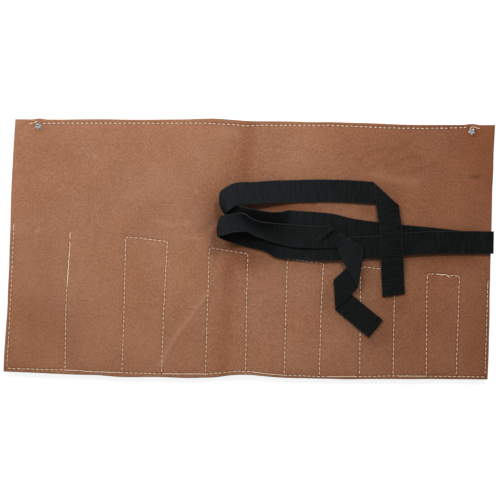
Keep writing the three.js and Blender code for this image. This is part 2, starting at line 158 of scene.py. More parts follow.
# Stretches of a seam that were sewn twice: start and end along it from its first point.
BACKTACKS = {
    "bottom": [(64, 130), (173, 222), (270, 312), (352, 392), (433, 468)],
    "left_edge": [(0, 11)],
    "divider": [(0, 11), (8, 62)],
    "right_edge": [(0, 12)],
    "arch_5": [(124, 138)],
}
# Single stitches beside a seam: both ends.
LOOSE_STITCHES = {
    "top": [
        ((-246.6, 134.6), (-242.8, 135.2)), ((-241.4, 135.6), (-238, 137.4)),
        ((242.9, 137.1), (244.9, 139)), ((244.6, 139), (248.4, 138.5)),
        ((248, 138.6), (251.2, 137.2)), ((250.8, 137.2), (253.6, 137.6)),
    ],
    "arch_5": [((212.5, -27.2), (216, -25)), ((219.5, -26.6), (223, -28.4))],
}
STITCH_PITCH = 5.2
STITCH_LENGTH = 4.35
TOP_STITCH_LENGTH = 3.5
THREAD_RADIUS = 0.29
TOP_THREAD_RADIUS = 0.4
BOX_THREAD_RADIUS = 0.32

# Pockets: the seams that part them, at the height of y = 0, their lean, and both ends of the mouths' line.
BAY_SEAMS = [-262.6, -199.8, -137.2, -92.3, -44.5, -1.8, 41.6, 81.9, 123.9, 161.9, 197.9, 233.0, 264.9]
BAY_LEAN = 0.0125
MOUTHS = [(-266.6, 22.6), (268.2, -32.4)]
POCKET_LEFT = -266
POCKET_LENGTH = 531

# Flap: its fold line, ends, depth below the fold, corner radius, and how high it hangs off the table there.
FOLD_Y = 127.1
FLAP_LEFT = -246.1
FLAP_RIGHT = 252.9
FLAP_DEPTH = 85.2
FLAP_CORNER = 14
FLAP_HANG = 4.4
# Its top edge swells past the rivets: x and half-width.
FLAP_BULGES = [(-235.4, 5.8), (244.6, 7.4)]
BULGE_HEIGHT = 1.3

# Rivets: centres, and the profiles of the clenched end and of the head as radius, share of the star and
# height above the hide or above the head's own face.
RIVETS = {"rivet_left": (-236.5, 131.9), "rivet_right": (244.6, 133.6)}
RIVET_DIMPLE = 5.477
RIVET_CLENCH = [
    (0.0, 0, 0.2), (0.45, 0, 0.25), (0.75, 0, 0.42), (1.05, 0, 0.78), (1.4, 0, 0.95), (1.75, 0.12, 1.0),
    (1.75, 0.45, 0.86), (1.75, 0.8, 0.58), (1.75, 1.0, 0.2), (1.75, 0.97, 0.02), (1.75, 0.4, 0.05),
    (1.75, 0, -0.1),
]
RIVET_HEAD = [(1.75, 0, 0.62), (3.7, 0, 0.6), (4.0, 0, 0.38), (3.85, 0, 0.1), (3.3, 0, 0.0), (0.0, 0, 0.0)]
RIVET_HEAD_Z = 3.5
STAR_ROOT = 2.6
STAR_TIP = 4.6
LOBE_STEPS = 14

# Tie: gap between its layers, the webbing, the length sewn down, and how far its fold stands past the hide.
CLEAR = 0.3
TIE_WIDTH = 25
TIE_THICK = 1.2
TIE_SEWN = 28
TIE_PROUD = 2.6
TIP_SETBACK = 1.35
TIE_LAYER = TIE_THICK + CLEAR
BOX_MARGIN = 4.5
RIB_PITCH = 2.3
RIB_HEIGHT = 0.07
TIE_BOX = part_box("tie_sewn_fold")
TIE_ORIGIN = np.array([TIE_BOX[0].x, (TIE_BOX[0].y + TIE_BOX[1].y) / 2, TIE_BOX[0].z - CLEAR * MM]) / MM


def sewn(n):
    """Height of the nth layer where the tie is sewn down."""
    return CLEAR + TIE_THICK / 2 + (n - 1) * TIE_LAYER


def layer(n):
    """Height of the nth layer where the tie lies loose."""
    return sewn(n) + 0.75


def rise(height):
    """Height of a stretch that stands off the hide."""
    return layer(1) + height


# The tails as stations from their sewn end: lie (x, y, height), turn (x, y, height, direction and tilt of
# the width, trough) and fold (x, y, height before and after).
LONG_TAIL = [
    ("turn", -CLEAR, 0, sewn(1), 90, 0, 0), ("lie", -36, 3, layer(1)), ("lie", -95, 8, layer(1)),
    ("lie", -128, 12, layer(1)), ("lie", -151, 17, layer(1)), ("lie", -188, 19.5, layer(1)),
    ("turn", -197, 19.9, rise(0.3), 90, 2, 0), ("turn", -203, 19.4, rise(4.4), 91, 23, 0),
    ("turn", -212, 19.2, rise(6.2), 92, 31, 0), ("turn", -222, 20, rise(6.6), 93, 33, 0),
    ("turn", -236, 22.4, rise(6.2), 96, 31, 0), ("turn", -250, 25, rise(5.6), 99, 26, 0),
    ("turn", -261, 28, rise(5.4), 105, 9, 0), ("turn", -273.4, 36, rise(9.6), 108, 0, -44),
    ("turn", -269, 41, rise(14.6), 106, -2, -8), ("turn", -264.4, 44.6, rise(14), 102, -5, 0),
    ("turn", -257.5, 48.6, rise(12.5), 97, -3, 0), ("turn", -250, 50, rise(10.8), 92, 0, 0),
    ("turn", -240, 50.3, rise(8.2), 90, 0, 0), ("lie", -213, 52.5, rise(3)),
    ("lie", -190, 53.5, layer(1)), ("lie", -167, 54.5, layer(1)), ("lie", -135, 54.5, layer(1)),
    ("fold", -90.5, 51.5, layer(1), layer(2)), ("lie", -86.5, 29, layer(2) + 0.2),
    ("lie", -84.5, 17, layer(3)), ("lie", -82, -18, layer(3)), ("lie", -81.3, -31, layer(2)),
    ("lie", -80.7, -43, layer(1)), ("lie", -79.5, -60, layer(1)),
]
SHORT_TAIL = [
    ("turn", -CLEAR, 0, sewn(2), 90, 0, 0), ("lie", -54, -2, layer(2)), ("lie", -95, -6.5, layer(2)),
    ("lie", -117, -8, layer(2)), ("lie", -151, -10.5, layer(2)), ("lie", -184, -10, layer(1) + 0.6),
    ("lie", -206, -8.5, layer(1) + 0.6), ("turn", -226, -1.2, rise(2.6), 100, 9, 0),
    ("turn", -245, 2.6, rise(4), 100, 15, 0), ("turn", -261, 7.7, rise(6.2), 94, 7, 0),
    ("turn", -276, 14, rise(11.4), 80, -7, -30), ("turn", -270.8, 13.9, rise(16.8), 79, -20, 0),
    ("turn", -259, 15.6, rise(13.4), 86, -22, 44), ("turn", -244, 18.6, rise(9.6), 96, 16, 66),
    ("turn", -231, 13.6, rise(9.2), 99, 32, 48), ("turn", -216, 8.4, rise(7.8), 94, 28, 24),
    ("turn", -200, 5, rise(5), 92, 14, 8), ("lie", -184, 3.6, layer(3) + 0.4), ("lie", -164, 3, layer(3)),
    ("fold", -135, 4, layer(3), layer(4)), ("lie", -127, -14.9, layer(4)),
    ("fold", -117.6, -32.6, layer(4), layer(3)), ("lie", -133, -48.1, layer(3) - 0.4),
    ("fold", -144, -60.5, layer(2), layer(1)), ("lie", -99, -97.5, layer(1)),
]
# A leg runs straight this far next to a fold, and a fold's bend reaches this far along the strap.
STRAIGHT = 24
FOLD_REACH = 60
# Spacing of points on a leg's curve and of rows of the strap, and the rows over which a heading is read.
CURVE_STEP = 0.25
STRAP_STEP = 0.375
HEADING_ROWS = 8
# Pleat in the short tail: both ends of its line.
PLEAT_LINE = [(-150.5, 13.5), (-169.0, -1.5)]

# Stage, in metres: floor, white glow of the floor near and far, light of the world, and camera.
FLOOR_HALF = 6
FLOOR_DROP = 0.0003
GLOW_NEAR = 0.81
GLOW_FAR = 0.92
WORLD_LIGHT = 0.3
VIEW_WIDTH = 0.555
VIEW_HEIGHT = 2.4
SENSOR = 36
CAMERA_SHIFT = (0.0006, -0.0016)
CAMERA_TURN = 0.9


# Helpers for curves and noise

LATTICE = 64
LATTICE_ORIGIN = -900


def ease(t):
    """Smooth step from 0 to 1."""
    t = np.clip(t, 0, 1)
    return t * t * (3 - 2 * t)


def bell(distance, width):
    """Bell curve that is 1 at no distance."""
    return np.exp(-(distance / width) ** 2)


def spots(x, y, rows):
    """Sum of soft oval spots given as rows of x, y, half-width, half-height and depth."""
    return sum(depth * bell(x - sx, wide) * bell(y - sy, high) for sx, sy, wide, high, depth in rows)


def through(points, places):
    """Smooth curve through (place, value) points, read at the given places."""
    at, value = np.array(points, float).T
    slope = np.gradient(value, at)
    i = np.clip(np.searchsorted(at, places) - 1, 0, len(at) - 2)
    width = at[i + 1] - at[i]
    t = np.clip((places - at[i]) / width, 0, 1)
    climb = value[i + 1] - value[i]
    start = slope[i] * width
    end = slope[i + 1] * width
    return value[i] + t * (start + t * (3 * climb - 2 * start - end + t * (start + end - 2 * climb)))


def run_of(points):
    """Distance along a path from its first point to each of its points."""
    steps = np.linalg.norm(np.diff(np.asarray(points, float), axis=0), axis=1)
    return np.concatenate([[0], np.cumsum(steps)])


def read_at(places, run, rows):
    """Rows of numbers along a run, read at the given places."""
    return np.stack([np.interp(places, run, column) for column in np.array(rows, float).T], -1)


def distance_to(path, x, y):
    """Distance in plan from each point to a run of straight stretches, and the place along it."""
    best = np.full(np.shape(x), 1e9)
    along = np.zeros(np.shape(x))
    run = 0.0
    for (ax, ay), (bx, by) in zip(path[:-1], path[1:]):
        length = math.hypot(bx - ax, by - ay)
        ux, uy = (bx - ax) / length, (by - ay) / length
        t = np.clip((x - ax) * ux + (y - ay) * uy, 0, length)
        d = np.hypot(x - ax - t * ux, y - ay - t * uy)
        closer = d < best
        best = np.where(closer, d, best)
        along = np.where(closer, run + t, along)
        run += length
    return best, along


def drift(x, y, size, seed):
    """Smooth noise from -1 to 1 with features of about that size."""
    lattice = np.random.default_rng(seed).uniform(-1, 1, (LATTICE, LATTICE))
    u, v = (x - LATTICE_ORIGIN) / size, (y - LATTICE_ORIGIN) / size
    i, j = np.floor(u).astype(int), np.floor(v).astype(int)
    a, b = ease(u - i), ease(v - j)

    def corner(right, up):
        return lattice[(i + right) % LATTICE, (j + up) % LATTICE]

    low = corner(0, 0) * (1 - a) + corner(1, 0) * a
    high = corner(0, 1) * (1 - a) + corner(1, 1) * a
    return low * (1 - b) + high * b


def unit(v):
    v = np.asarray(v, float)
    return v / np.linalg.norm(v)


def left_of(v):
    """Direction in plan a quarter turn to the left."""
    return np.array([-v[1], v[0]])


# The lie of the hide

def ridges(x, y, rows):
    """Sum of soft ridges given as rows of path, height and half-width."""
    return sum(high * bell(distance_to(path, x, y)[0], wide) for path, high, wide in rows)


def hide(x, y):
    """Height of the hide's outer face above the flat panel."""
    z = sum(high * drift(x, y, size, seed) for high, size, seed in LUMPS)
    # One soft hollow runs across the sheet, with a swelling to its right.
    fold = x - through(HOLLOW_LINE, y)
    z = z - 1.7 * bell(fold, 12) + 1.1 * bell(fold - 24, 15)
    z = z + ridges(x, y, CREASES + WRINKLES)
    # Each stitch pulls the hide down.
    for path in SEAMS.values():
        d, along = distance_to(path, x, y)
        pull = 0.72 + 0.28 * np.cos(2 * np.pi * along / STITCH_PITCH)
        z = z - 0.42 * pull * bell(d, 1.5) - 0.22 * bell(d, 6)
    z = z - spots(x, y, [(px, py, RIVET_DIMPLE, RIVET_DIMPLE, 0.55) for px, py in RIVETS.values()])
    # The cut edges hang a little, except where the tie holds them.
    gap = np.minimum(x - through(LEFT_END, y), through(RIGHT_END, y) - x)
    gap = np.minimum(gap, y - through(BOTTOM_EDGE, x))
    free = 1 - spots(x, y, [(262, 10.8, 30, 17, 1)])
    z = z - (0.7 + 0.4 * drift(x, y, 40, 8)) * np.exp(-np.maximum(gap, 0) / 7) * free
    # The strap lies over this part and keeps it down.
    under_tie = ease(x / 30) * np.exp(-((y - 5) / 55) ** 6)
    return np.where(z > 0.35, z + under_tie * (0.35 - z), z)


def outer_height(x, y):
    return BASE_TOP + hide(x, y)


# Meshes

def add_object(name, data):
    item = bpy.data.objects.new(name, data)
    bpy.context.scene.collection.objects.link(item)
    return item


def make_piece(name, points, faces, materials, face_materials=None):
    """Smooth mesh object from points in millimetres."""
    mesh = bpy.data.meshes.new(name)
    mesh.from_pydata((np.asarray(points, float) * MM).tolist(), [], faces)
    for material in materials:
        mesh.materials.append(material)
    if face_materials is not None:
        mesh.polygons.foreach_set("material_index", np.asarray(face_materials, np.int32))
    mesh.polygons.foreach_set("use_smooth", np.ones(len(mesh.polygons), bool))
    mesh.update()
    return add_object(name, mesh)


def unit_grid(columns, rows):
    """Shares from 0 to 1 across and up a grid."""
    return np.meshgrid(np.linspace(0, 1, columns), np.linspace(0, 1, rows))


def rim_of(rows, columns):
    """Indices round the border of a grid, counter-clockwise when columns run right and rows run up."""
    index = np.arange(rows * columns).reshape(rows, columns)
    return np.concatenate([index[0, :], index[1:, -1], index[-1, -2::-1], index[-2:0:-1, 0]])


def closed_sheet(top, bottom):
    """Points, faces and a part number per face (0 top, 1 bottom, 2 rim) of a sheet between two grids."""
    rows, columns = top.shape[:2]
    count = rows * columns
    rim = rim_of(rows, columns)
    mid = (top.reshape(-1, 3)[rim] + bottom.reshape(-1, 3)[rim]) / 2
    points = np.concatenate([top.reshape(-1, 3), bottom.reshape(-1, 3), mid])
    i = np.arange(count).reshape(rows, columns)[:-1, :-1].ravel()
    face = np.stack([i, i + 1, i + columns + 1, i + columns], -1)
    middle = 2 * count + np.arange(len(rim))
    next_rim = np.roll(rim, -1)
    next_middle = np.roll(middle, -1)
    upper = np.stack([rim, middle, next_middle, next_rim], -1)
    lower = np.stack([middle, count + rim, count + next_rim, next_middle], -1)
    faces = [face, face[:, ::-1] + count, upper, lower]
    parts = [np.full(len(f), part) for f, part in zip(faces, (0, 1, 2, 2))]
    return points, np.concatenate(faces).tolist(), np.concatenate(parts)


def soften_rim(top, bottom, inset, drop=0.18):
    """Rounds the cut edge of a sheet by drawing in the outer row of both faces."""
    for grid, down in ((top, -1), (bottom, 1)):
        turned = grid.swapaxes(0, 1)
        for rows in (grid, grid[::-1], turned, turned[::-1]):
            step = rows[1] - rows[0]
            length = np.linalg.norm(step[:, :2], axis=1, keepdims=True)
            rows[0] += step / np.maximum(length, 1e-6) * inset
            rows[0, :, 2] += down * drop


def sheet_piece(name, x, y, top, thick, materials, inset=0.35):
    """Closed sheet of even thickness with rounded cut edges, and its points."""
    upper = np.stack([x, y, top], -1)
    lower = np.stack([x, y, top - thick], -1)
    soften_rim(upper, lower, inset)
    points, faces, parts = closed_sheet(upper, lower)
    return make_piece(name, points, faces, materials, parts), points


def merge_close(piece):
    """Joins points that lie on each other."""
    work = bmesh.new()
    work.from_mesh(piece.data)
    bmesh.ops.remove_doubles(work, verts=work.verts, dist=1e-6)
    bmesh.ops.recalc_face_normals(work, faces=work.faces)
    work.to_mesh(piece.data)
    work.free()


def attribute(piece, name, values):
    """One number per point, for the material to read."""
    numbers = piece.data.attributes.new(name, "FLOAT", "POINT")
    numbers.data.foreach_set("value", np.asarray(values, np.float32).ravel())


# Materials

class Nodes:
    """Builds the nodes of one material or world round its shader."""

    def __init__(self, owner, shader="Principled BSDF"):
        owner.use_nodes = True
        self.owner = owner
        self.tree = owner.node_tree
        self.shader = self.tree.nodes[shader]

    def feed(self, socket, value):
        """Gives a socket another node's output, a colour or a plain value."""
        if isinstance(value, bpy.types.NodeSocket):
            self.tree.links.new(value, socket)
        elif socket.type == "RGBA":
            socket.default_value = (*value, 1)
        else:
            socket.default_value = value

    def add(self, kind, **values):
        """Node with the given properties and inputs, with _ for the spaces in an input's name."""
        node = self.tree.nodes.new("ShaderNode" + kind)
        for key, value in values.items():
            if hasattr(node, key):
                setattr(node, key, value)
            else:
                self.feed(node.inputs[key.replace("_", " ")], value)
        return node

    def surface(self, **values):
        """Inputs of the shader."""
        for key, value in values.items():
            self.feed(self.shader.inputs[key.replace("_", " ")], value)

    def place(self, stretch=(1, 1, 1)):
        at = self.add("TexCoord").outputs["Object"]
        return self.add("Mapping", Vector=at, Scale=stretch).outputs["Vector"]

    def noise(self, scale, detail, rough, vector=None):
        at = vector or self.place()
        node = self.add("TexNoise", Vector=at, Scale=scale, Detail=detail, Roughness=rough)
        return node.outputs["Fac"]

    def ramp(self, value, low, high, start=0.0, end=1.0):
        """Straight ramp from start at low to end at high."""
        limits = {"From_Min": low, "From_Max": high, "To_Min": start, "To_Max": end}
        return self.add("MapRange", Value=value, **limits).outputs["Result"]

    def mix(self, share, first, second, blend="MIX"):
        node = self.add("Mix", data_type="RGBA", blend_type=blend)
        for number, value in ((0, share), (6, first), (7, second)):
            self.feed(node.inputs[number], value)
        return node.outputs[2]

    def math(self, operation, first, second=0.0):
        node = self.add("Math", operation=operation)
        self.feed(node.inputs[0], first)
        self.feed(node.inputs[1], second)
        return node.outputs[0]

    def bump(self, height, strength, distance):
        node = self.add("Bump", Height=height, Strength=strength, Distance=distance)
        self.surface(Normal=node.outputs["Normal"])

    def reading(self, name):
        """Number that the mesh carries at each point."""
        return self.add("Attribute", attribute_name=name).outputs["Fac"]


def scaled(colour, shares):
    """Colour with each channel times its share, up to 1."""
    return tuple(min(1, c * s) for c, s in zip(colour, shares))


def suede(name, light, dark, surface_marks=False):
    """Napped leather: soft clouds, mottling and a fine fibrous nap."""
    m = Nodes(bpy.data.materials.new(name))
    clouds = m.noise(24, 4, 0.55)
    mottle = m.noise(120, 4, 0.6)
    nap = m.noise(520, 3, 0.6)
    fibre = m.noise(1300, 3, 0.65)
    deep = scaled(dark, (0.7, 0.66, 0.62))
    pale = scaled(light, (1.2, 1.25, 1.3))
    colour = m.mix(m.ramp(clouds, 0.34, 0.68), dark, light)
    colour = m.mix(m.ramp(mottle, 0.4, 0.72, 0, 0.3), colour, deep)
    colour = m.mix(m.ramp(fibre, 0.5, 0.7, 0, 0.45), colour, pale)
    colour = m.mix(m.ramp(fibre, 0.5, 0.32, 0, 0.4), colour, deep)
    colour = m.mix(m.ramp(nap, 0.5, 0.66, 0, 0.5), colour, pale)
    colour = m.mix(m.ramp(nap, 0.5, 0.34, 0, 0.5), colour, deep)
    tint = m.ramp(m.noise(11, 2, 0.5), 0.38, 0.62)
    colour = m.mix(1.0, colour, m.mix(tint, (1.012, 0.985, 0.95), (0.988, 1.0, 1.03)), "MULTIPLY")
    if surface_marks:
        # Painted shade: darker and redder where the shade attribute is high.
        colour = m.mix(m.reading("shade"), colour, (0.475, 0.29, 0.192), "MULTIPLY")
        # Paler where scuffed, with a painted highlight along the creases.
        colour = m.mix(m.reading("wear_and_painted_highlight"), colour, scaled(light, (1.35, 1.5, 1.7)))
        # The tie's painted shadow on the hide.
        colour = m.mix(m.reading("painted_tie_shadow"), colour, (0.42, 0.36, 0.33), "MULTIPLY")
        colour = m.mix(m.reading("stain"), colour, (0.035, 0.022, 0.016))
    m.surface(Base_Color=colour, Roughness=m.ramp(mottle, 0.3, 0.7, 0.86, 0.97), Specular_IOR_Level=0.04)
    m.surface(Sheen_Weight=0.06, Sheen_Roughness=0.45)
    m.bump(m.math("ADD", m.math("MULTIPLY", fibre, 0.6), nap), 0.35, 0.0005)
    return m.owner


def cut_edge(name, light, dark):
    """Cut leather: pale compressed fibres in layers."""
    m = Nodes(bpy.data.materials.new(name))
    layers = m.noise(700, 4, 0.6, m.place((0.25, 0.25, 3)))
    colour = m.mix(m.ramp(layers, 0.3, 0.7), dark, light)
    m.surface(Base_Color=colour, Roughness=0.93, Specular_IOR_Level=0.1)
    m.bump(layers, 0.5, 0.0004)
    return m.owner


def thread(name, light, dark, gloss=0.25):
    """Twisted sewing thread."""
    m = Nodes(bpy.data.materials.new(name))
    ply = m.noise(1500, 2, 0.5)
    soil = m.noise(60, 3, 0.5)
    colour = m.mix(m.ramp(ply, 0.35, 0.65), dark, light)
    colour = m.mix(m.ramp(soil, 0.45, 0.75, 0, 0.25), colour, scaled(dark, (0.72, 0.72, 0.72)))
    m.surface(Base_Color=colour, Roughness=0.72, Specular_IOR_Level=gloss)
    m.bump(ply, 0.5, 0.0002)
    return m.owner


def webbing(name):
    """Black woven webbing: cross ribs, a fine twill between them and paler selvedges, which are a painted
    highlight.
    """
    m = Nodes(bpy.data.materials.new(name))
    chart = m.add("UVMap", uv_map="weave")
    split = m.add("SeparateXYZ", Vector=chart.outputs["UV"])
    across, along = split.outputs[0], split.outputs[1]
    rib = m.math("SINE", m.math("MULTIPLY", along, 2 * math.pi / RIB_PITCH))
    warp = m.math("SINE", m.math("MULTIPLY", across, 2 * math.pi / 0.7))
    twill = m.math("MULTIPLY", m.math("MULTIPLY", rib, warp), 0.35)
    weave = m.math("ADD", m.math("MULTIPLY", rib, 0.65), twill)
    ridge = m.ramp(weave, -0.8, 0.9)
    fuzz = m.noise(900, 3, 0.6)
    patches = m.noise(45, 3, 0.5)
    picks = m.add("Mapping", Vector=chart.outputs["UV"], Scale=(0.06, 0.55, 1))
    slub = m.noise(1, 3, 0.6, picks.outputs["Vector"])
    colour = m.mix(ridge, (0.0032, 0.0037, 0.0035), (0.0098, 0.011, 0.0104))
    colour = m.mix(m.ramp(fuzz, 0.5, 0.75, 0, 0.45), colour, (0.02, 0.0224, 0.0214))
    colour = m.mix(m.ramp(slub, 0.5, 0.7, 0, 0.42), colour, (0.019, 0.0212, 0.0202))
    colour = m.mix(m.ramp(slub, 0.5, 0.32, 0, 0.38), colour, (0.0024, 0.0027, 0.0025))
    colour = m.mix(m.ramp(patches, 0.48, 0.72, 0, 0.35), colour, (0.014, 0.015, 0.0165))
    # The webbing is paler to the left and upwards on the long tail's upper run and where it lies on top,
    # but not inside the loops: partly fading, partly painted light from the left and top, and a painted
    # highlight on the top layer.
    place = m.add("SeparateXYZ", Vector=m.place())
    to_left = m.ramp(place.outputs[0], 0.17, 0.0, 0, 0.62)
    upwards = m.ramp(place.outputs[1], 0.02, 0.055, 0.55, 1.08)
    fade_and_painted_light = m.math("MAXIMUM", m.math("MULTIPLY", to_left, upwards), m.reading("wear_and_painted_highlight"))
    pale = m.mix(ridge, (0.018, 0.0193, 0.0222), (0.0292, 0.0312, 0.036))
    pale = m.mix(m.ramp(slub, 0.32, 0.56), (0.016, 0.0174, 0.0184), pale)
    colour = m.mix(fade_and_painted_light, colour, pale)
    # Painted shade inside the loops.
    colour = m.mix(m.reading("painted_loop_shade"), colour, (0.62, 0.62, 0.62), "MULTIPLY")
    # Painted highlight along both selvedges.
    selvedge = m.ramp(m.math("ABSOLUTE", across), 11.7, 12.2, 0, 0.5)
    colour = m.mix(selvedge, colour, (0.034, 0.037, 0.038))
    m.surface(Base_Color=colour, Roughness=0.88, Specular_IOR_Level=0.02)
    m.bump(m.math("ADD", weave, fuzz), 0.45, 0.0004)
    return m.owner


def plated_steel(name):
    """Worn plated steel."""
    m = Nodes(bpy.data.materials.new(name))
    surface_marks = m.noise(900, 4, 0.6)
    patches = m.noise(300, 3, 0.5)
    colour = m.mix(m.ramp(surface_marks, 0.35, 0.65), (0.11, 0.115, 0.12), (0.38, 0.4, 0.41))
    m.surface(Base_Color=colour, Roughness=m.ramp(patches, 0.3, 0.7, 0.46, 0.66), Metallic=1.0)
    m.bump(surface_marks, 0.25, 0.0002)
    return m.owner


# The outer face carries painted shade, painted highlight and painted shadow besides stains and scuffing.
OUTER = suede("suede_outer", (0.41, 0.199, 0.113), (0.351, 0.162, 0.09), surface_marks=True)
INNER = suede("suede_inner", (0.43, 0.215, 0.125), (0.36, 0.172, 0.098))
EDGE = cut_edge("suede_cut_edge", (0.4, 0.2, 0.115), (0.24, 0.105, 0.056))
# The flap's face and its cut edge are darker copies of the hide's suede and cut edge: painted shade where
# the flap peeks out under the top edge.
FLAP_FACE_SHADED = suede("suede_flap_face_shaded", (0.3, 0.138, 0.074), (0.25, 0.112, 0.06))
FLAP_BACK = suede("suede_flap_back", (0.395, 0.19, 0.107), (0.338, 0.155, 0.085))
FLAP_EDGE_SHADED = cut_edge("flap_cut_edge_shaded", (0.29, 0.135, 0.074), (0.17, 0.075, 0.04))
CREAM = thread("cream_thread", (1.0, 0.9, 0.72), (0.88, 0.75, 0.57))
BLACK = thread("black_thread", (0.0085, 0.0092, 0.0095), (0.003, 0.0034, 0.0035), 0.05)
WEBBING = webbing("black_webbing")
STEEL = plated_steel("rivet_steel")


# Base panel

def hide_marks(x, y):
    """Shares of painted shade, of scuffing and painted highlight, of stain and of the tie's painted shadow
    on the outer face.
    """
    fold = x - through(HOLLOW_LINE, y)
    # The hide is darker to the right, at its lower left, along the hollow, in spots and at the seams; apart
    # from its random tone and the needle holes, this is painted shade.
    shade = 0.02 + 0.07 * drift(x, y, 48, 21)
    # Painted shade for the light falling off to the right and downwards, partly the hide's own tone.
    shade += 0.46 * ease((x + 60) / 330) + 0.1 * ease((x - 225) / 40)
    shade += 0.06 * ease((-y - 20) / 160) + 0.04 * ease((90 - y) / 80)
    shade += 0.2 * ease((-130 - x) / 130) * ease((40 - y) / 130)
    shade += 0.14 * ease((x - 60) / 160) * ease((y - 20) / 90)
    # Painted shade in the hollow.
    shade += 0.36 * bell(fold - 10, 10) * (0.55 + 0.45 * ease((y - 30) / 60))
    shade += 0.08 * bell(fold, 42) * ease((y + 20) / 60)
    # Painted shadows in spots.
    shade += spots(x, y, PAINTED_SHADOW_SPOTS)
    # Needle holes, and painted shade in the grooves that the stitches pull into the hide.
    shade += ridges(x, y, [(path, 0.42, 1.2) for path in SEAMS.values()])
    # Painted shade in the valleys of the wrinkles.
    shade += ridges(x, y, [(path, -0.9 * high, wide) for path, high, wide in WRINKLES])
    wear_and_painted_highlight = spots(x, y, PALE_SPOTS)
    # Paler along the creases: partly scuffing, partly a painted highlight on their ridges.
    wear_and_painted_highlight += ridges(x, y, [(path, 0.8 * high, 0.8 * wide) for path, high, wide in CREASES])
    # Painted shadow of the tie on the hide, under it and just below it.
    painted_tie_shadow = np.zeros(np.shape(x))
    for tail in (LONG_TAIL, SHORT_TAIL):
        path = [(TIE_ORIGIN[0] + station[1], TIE_ORIGIN[1] + station[2] - 5) for station in tail]
        d, _ = distance_to(path, x, y)
        painted_tie_shadow += 0.36 * np.exp(-np.maximum(d - TIE_WIDTH / 2, 0) / 9)
    return {"shade": shade, "wear_and_painted_highlight": wear_and_painted_highlight, "stain": spots(x, y, STAINS), "painted_tie_shadow": painted_tie_shadow}


def base_panel(columns=357, rows=191):
    """The hide, whose outer face lies up."""
    s, t = unit_grid(columns, rows)
    x = HALF_LENGTH * (2 * s - 1)
    low = through(BOTTOM_EDGE, x)
    y = low + (through(TOP_EDGE, x) - low) * t
    left, right = through(LEFT_END, y), through(RIGHT_END, y)
    x = left + (right - left) * s
    # The cut edges waver a little.
    y = y + 0.25 * drift(x, y, 23, 11) * np.abs(2 * t - 1) ** 8
    x = x + 0.25 * drift(x, y, 23, 12) * np.abs(2 * s - 1) ** 8
    piece, points = sheet_piece("base_hide", x, y, outer_height(x, y), BASE_THICK, [OUTER, INNER, EDGE])
    for name, values in hide_marks(points[:, 0], points[:, 1]).items():
        attribute(piece, name, np.clip(values, 0, 1))
    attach(piece, "roll")
    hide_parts("base_panel")
    return piece


# Pocket panel

def pocket_panel(columns=357, rows=96):
    """Sheet on the inner face that sags between its seams, so that it makes twelve pockets."""
    s, t = unit_grid(columns, rows)
    x = POCKET_LEFT + POCKET_LENGTH * s
    low = through(BOTTOM_EDGE, x) + 0.6
    (ax, ay), (bx, by) = MOUTHS
    mouth = ay + (by - ay) * (x - ax) / (bx - ax)
    y = low + (mouth - low) * t
    left, right = through(LEFT_END, y) + 0.4, through(RIGHT_END, y) - 0.4
    x = left + (right - left) * s
    sag = np.zeros_like(x)
    lean = BAY_LEAN * y
    for a, b in zip(BAY_SEAMS[:-1], BAY_SEAMS[1:]):
        sag = np.maximum(sag, ease((x - a - lean - 1.5) / 7) * ease((b + lean - x - 1.5) / 7))
    sag = sag * ease((y - low - 6.1) / 32)
    sewn_level = outer_height(x, y) - BASE_THICK - SEWN_GAP
    table_level = POCKET_THICK + 0.05
    z = sewn_level * (1 - sag) + table_level * sag
    piece, _ = sheet_piece("pocket_hide", x, y, z, POCKET_THICK, [INNER, INNER, EDGE])
    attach(piece, "roll")
    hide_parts("pocket_panel")
    return piece


# Flap

def flap(columns=240, rows=80):
    """Sheet that is sewn inside the top edge and bends at its fold line."""
    s, t = unit_grid(columns, rows)
    x = FLAP_LEFT + (FLAP_RIGHT - FLAP_LEFT) * s
    high = through(TOP_EDGE, x) - 0.3
    for px, reach in FLAP_BULGES:
        high = high + BULGE_HEIGHT * bell(x - px, reach)
    inside = np.minimum(np.minimum(x - FLAP_LEFT, FLAP_RIGHT - x), FLAP_CORNER)
    low = FOLD_Y - FLAP_DEPTH + FLAP_CORNER - np.sqrt(FLAP_CORNER ** 2 - (FLAP_CORNER - inside) ** 2)
    low = low + 0.8 * drift(x, 0 * x, 60, 31)
    y = low + (high - low) * t
    droop = np.clip((FOLD_Y - y) / FLAP_DEPTH, 0, 1)
    sewn_level = outer_height(x, y) - BASE_THICK - SEWN_GAP - FLAP_THICK
    hanging = FLAP_HANG * (1 - droop) + 0.25 * drift(x, y, 45, 32) * np.sin(np.pi * droop)
    share = ease((y - FOLD_Y + 4) / 8)
    z = np.maximum(sewn_level * share + hanging * (1 - share), 0.02)
    # The flap's face and cut edge carry painted shade.
    materials = [FLAP_FACE_SHADED, FLAP_BACK, FLAP_EDGE_SHADED]
    piece, _ = sheet_piece("flap_hide", x, y, z + FLAP_THICK, FLAP_THICK, materials, inset=0.25)
    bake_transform(piece)
    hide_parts("flap_sewn_edge", "flap_panel")
    return piece


# Stitches

def stitch_ends(path, rng, start=0.0, stop=None, share=STITCH_LENGTH / STITCH_PITCH):
    """Ends in plan of each stitch along a path."""
    run = run_of(path)
    stop = run[-1] if stop is None else min(stop, run[-1])
    count = max(1, int((stop - start) / STITCH_PITCH))
    pitch = (stop - start) / count
    begin = start + pitch * (np.arange(count) + 0.5 * (1 - share))
    begin = begin + rng.normal(0, 0.12, count)
    length = pitch * share * rng.uniform(0.92, 1.06, count)
    a = read_at(begin, run, path)
    b = read_at(begin + length, run, path)
    return a + rng.normal(0, 0.09, a.shape), b + rng.normal(0, 0.09, b.shape)


